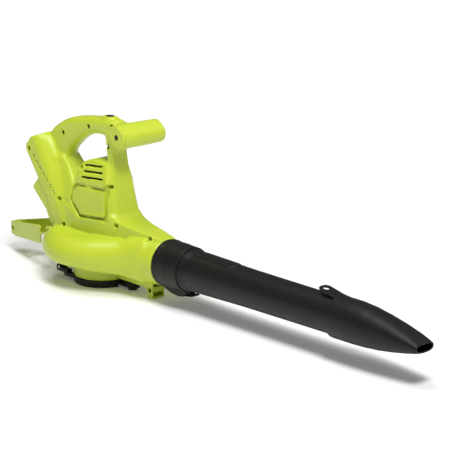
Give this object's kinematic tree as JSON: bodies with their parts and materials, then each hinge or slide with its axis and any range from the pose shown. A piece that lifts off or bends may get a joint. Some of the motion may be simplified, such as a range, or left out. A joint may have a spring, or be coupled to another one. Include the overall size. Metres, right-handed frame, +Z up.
{
  "type": "leaf blower",
  "caption": "Cordless hand-held leaf blower: loop handle over a round fan housing, side bar grip, slanted battery bay, underside air inlet and a long tapered tube with a flat nozzle.",
  "frame": {"origin": "on the floor that the inlet ring and the front foot stand on, under the centre of the overall box; the fan axis is 240.5 mm behind it", "axes": "+X forward along the air tube, +Y to the operator's left, +Z up along the fan axis"},
  "size_m": [0.989, 0.206, 0.2886],
  "materials": {
    "green_shell": "satin moulded lime plastic",
    "black_shell": "satin moulded black plastic",
    "dial_grey": "fine matte moulded dark grey plastic",
    "dark_screw": "blackened steel",
    "bright_steel": "turned steel",
    "zinc_can": "zinc plated steel",
    "cast_alloy": "die cast",
    "fan_nylon": "glass filled nylon",
    "ferrite": "sintered ferrite",
    "core_steel": "stacked steel laminations",
    "copper": "enamelled copper wire",
    "brass": "stamped brass",
    "carbon": "pressed carbon",
    "board": "solder resist over glass laminate",
    "chip_black": "moulded epoxy",
    "sink_alloy": "extruded",
    "seal_rubber": "moulded rubber",
    "lead_red": "insulated lead",
    "lead_black": "insulated lead",
    "lead_grey": "insulated lead"
  },
  "bodies": {
    "housing": {"right_housing": "green_shell", "left_housing": "green_shell", "housing_screws": "dark_screw", "front_handle": "green_shell", "front_handle_cap": "green_shell", "front_handle_screw": "dark_screw", "inlet_ring": "black_shell", "inlet_ring_screws": "dark_screw", "guard_hinge_pins": "bright_steel", "interlock_switch": "chip_black", "motor_mount_plate": "cast_alloy", "motor_screws": "dark_screw", "motor_can": "zinc_can", "motor_magnets": "ferrite", "motor_end_cap": "chip_black", "brush_holders": "brass", "carbon_brushes": "carbon", "lower_bearing": "bright_steel", "upper_bearing": "bright_steel", "speed_potentiometer": "zinc_can", "control_board": "board", "power_transistors": "chip_black", "heat_sink": "sink_alloy", "battery_terminal_block": "chip_black", "contact_blades": "brass", "battery_lead": "lead_red", "motor_lead": "lead_black", "dial_lead": "lead_grey", "outlet_seal": "seal_rubber"},
    "rotor": {"rotor_shaft": "bright_steel", "armature_core": "core_steel", "armature_windings": "copper", "commutator": "copper", "impeller": "fan_nylon", "impeller_nut": "bright_steel"},
    "tube": {"tube_collar": "black_shell", "latch_pin": "bright_steel", "latch_spring": "bright_steel", "blower_tube": "black_shell"},
    "dial": {"speed_dial": "dial_grey"},
    "guard": {"inlet_guard": "black_shell"},
    "knob": {"guard_latch_knob": "black_shell"},
    "latch": {"tube_latch": "black_shell"},
    "nozzle": {"nozzle": "black_shell"}
  },
  "joints": [
    {"name": "rotor_spin", "type": "hinge", "parent": "housing", "child": "rotor", "pos_m": [-0.2405, 0, 0.1], "axis": [0, 0, 1], "continuous": true},
    {"name": "dial_turn", "type": "hinge", "parent": "housing", "child": "dial", "pos_m": [-0.2165, 0, 0.288], "axis": [0, 0, 1], "range_deg": [0, 270]},
    {"name": "guard_swing", "type": "hinge", "parent": "housing", "child": "guard", "pos_m": [-0.3065, 0, 0.017], "axis": [0, 1, 0], "range_deg": [0, 95]},
    {"name": "knob_turn", "type": "hinge", "parent": "guard", "child": "knob", "pos_m": [-0.1625, 0, 0.003], "axis": [0, 0, 1], "range_deg": [0, 90]},
    {"name": "tube_slide", "type": "slide", "parent": "housing", "child": "tube", "axis": [1, 0, 0], "range_m": [0, 0.06]},
    {"name": "latch_press", "type": "hinge", "parent": "tube", "child": "latch", "pos_m": [-0.0285, 0, 0.023], "axis": [0, -1, 0], "range_deg": [0, 4.2], "stiffness_Nm_per_rad": 0.6, "springref_deg": -2.86, "deforming": ["latch_spring"]},
    {"name": "nozzle_slide", "type": "slide", "parent": "tube", "child": "nozzle", "axis": [1, 0, 0], "range_m": [0, 0.045]}
  ]
}
